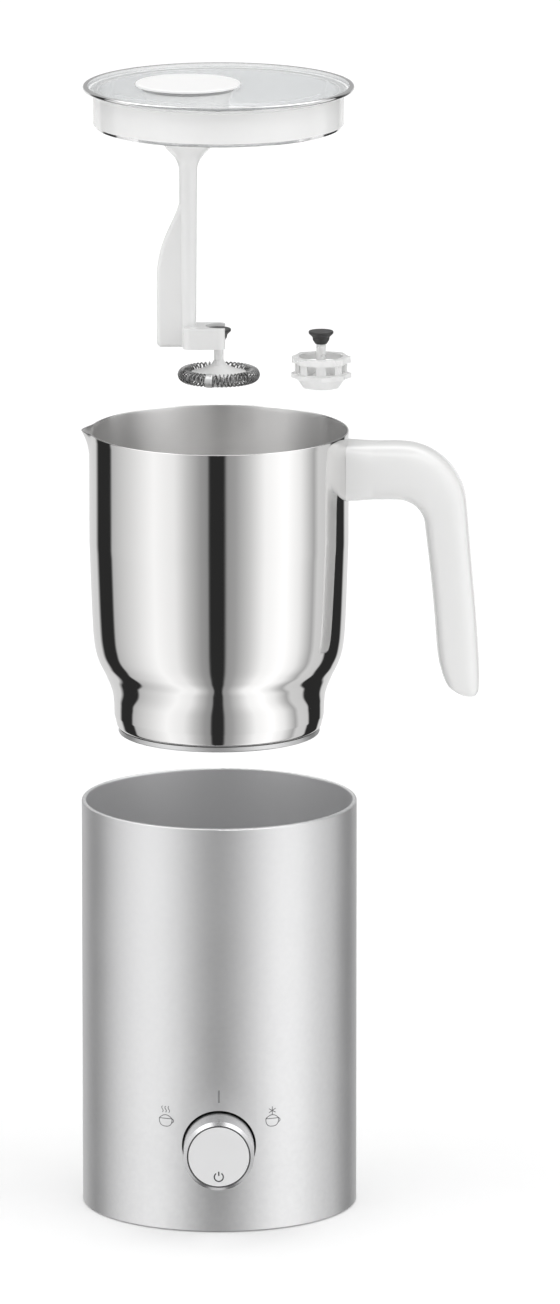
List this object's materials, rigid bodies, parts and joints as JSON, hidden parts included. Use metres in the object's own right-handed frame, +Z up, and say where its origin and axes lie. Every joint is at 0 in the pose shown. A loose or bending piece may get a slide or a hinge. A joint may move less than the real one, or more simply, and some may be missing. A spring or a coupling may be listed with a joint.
{
  "type": "milk frother",
  "caption": "Cylindrical milk frother shown pulled apart: base with a dial, steel jug with a white handle, clear lid with a whisk arm, coil whisk and spare whisk.",
  "frame": {"origin": "on the table under the middle of the base", "axes": "+Z up, -Y towards the dial, +X towards the jug's handle"},
  "size_m": [0.1747, 0.1543, 0.4965],
  "materials": {
    "shell_metal": "satin, finely blasted",
    "dial_metal": "satin with a polished bevel",
    "button_metal": "satin",
    "jug_steel": "mirror polished outside, brushed inside",
    "satin_steel": "satin",
    "hardware_steel": "zinc plated",
    "white_plastic": "gloss",
    "clear_plastic": "clear, polished",
    "frosted_plastic": "translucent",
    "black_plastic": "satin",
    "grey_plastic": "fine grain",
    "black_rubber": "matt",
    "copper": "enamelled",
    "magnet": "nickel plated",
    "ferrite": "matt",
    "board": "solder mask",
    "bronze": "sintered",
    "component_black": "moulded"
  },
  "bodies": {
    "base": {"outer_shell": "shell_metal", "well_cup": "grey_plastic", "bottom_cover": "grey_plastic", "foot_ring": "black_rubber", "cover_screws": "hardware_steel", "motor_can": "hardware_steel", "motor_end_cap": "component_black", "motor_bush": "bronze", "field_magnets": "ferrite", "motor_bracket": "hardware_steel", "bracket_grommets": "black_rubber", "bracket_screws": "hardware_steel", "motor_screws": "hardware_steel", "coil_former": "black_plastic", "induction_coil": "copper", "ferrite_bars": "ferrite", "temperature_sensor": "satin_steel", "power_board": "board", "heatsink": "satin_steel", "power_transistor": "component_black", "supply_transformer": "component_black", "terminal_block": "component_black", "capacitors": "component_black", "filter_choke": "copper", "coil_leads": "copper", "control_board": "board", "tact_switch": "component_black", "rotary_encoder": "satin_steel", "dial_housing": "black_plastic", "cord_gland": "black_rubber"},
    "rotor": {"armature": "hardware_steel", "drive_shaft": "hardware_steel", "magnet_carrier": "black_plastic", "drive_magnets": "magnet"},
    "dial": {"dial_ring": "dial_metal", "dial_hub": "black_plastic", "button_spring": "hardware_steel"},
    "button": {"button_cap": "button_metal", "button_plunger": "black_plastic"},
    "jug": {"jug_body": "jug_steel", "jug_base_disc": "satin_steel", "handle_bracket": "jug_steel", "handle_grip": "white_plastic", "handle_screw": "hardware_steel", "handle_plug": "white_plastic"},
    "lid": {"lid_cover": "clear_plastic", "lid_ring": "white_plastic", "lid_seal": "frosted_plastic", "arm_cap": "white_plastic", "whisk_arm": "white_plastic"},
    "whisk_mount": {"whisk_head": "black_plastic"},
    "whisk": {"whisk_hub": "frosted_plastic", "whisk_coil": "hardware_steel", "whisk_magnets": "magnet"},
    "spare_mount": {"spare_head": "black_plastic"},
    "spare": {"spare_wheel": "frosted_plastic", "spare_magnets": "magnet"}
  },
  "joints": [
    {"name": "jug_lift", "type": "slide", "parent": "base", "child": "jug", "axis": [0, 0, 1], "range_m": [-0.13, 0]},
    {"name": "lid_lift", "type": "slide", "parent": "jug", "child": "lid", "axis": [0, 0, 1], "range_m": [-0.1496, 0]},
    {"name": "whisk_release", "type": "slide", "parent": "lid", "child": "whisk_mount", "axis": [1, 0, 0], "range_m": [0, 0.02]},
    {"name": "motor_spin", "type": "hinge", "parent": "base", "child": "rotor", "pos_m": [0, 0, 0.07], "axis": [0, 0, 1], "continuous": true},
    {"name": "whisk_spin", "type": "hinge", "parent": "whisk_mount", "child": "whisk", "pos_m": [0, 0, 0.37], "axis": [0, 0, 1], "continuous": true},
    {"name": "dial_turn", "type": "hinge", "parent": "base", "child": "dial", "pos_m": [0, -0.06, 0.0385], "axis": [0, 1, 0], "range_deg": [-60, 60]},
    {"name": "button_press", "type": "slide", "parent": "dial", "child": "button", "axis": [0, 1, 0], "range_m": [0, 0.0015], "stiffness_N_per_m": 400, "springref_m": -0.002, "deforming": ["button_spring"]},
    {"name": "spare_lift", "type": "slide", "parent": "base", "child": "spare_mount", "axis": [0, 0, 1], "range_m": [-0.3783, 0]},
    {"name": "spare_spin", "type": "hinge", "parent": "spare_mount", "child": "spare", "pos_m": [0.044, -0.08, 0.39], "axis": [0, 0, 1], "continuous": true}
  ],
  "couplings": [
    {"joint": "whisk_spin", "follows": "motor_spin", "ratio": 1}
  ]
}
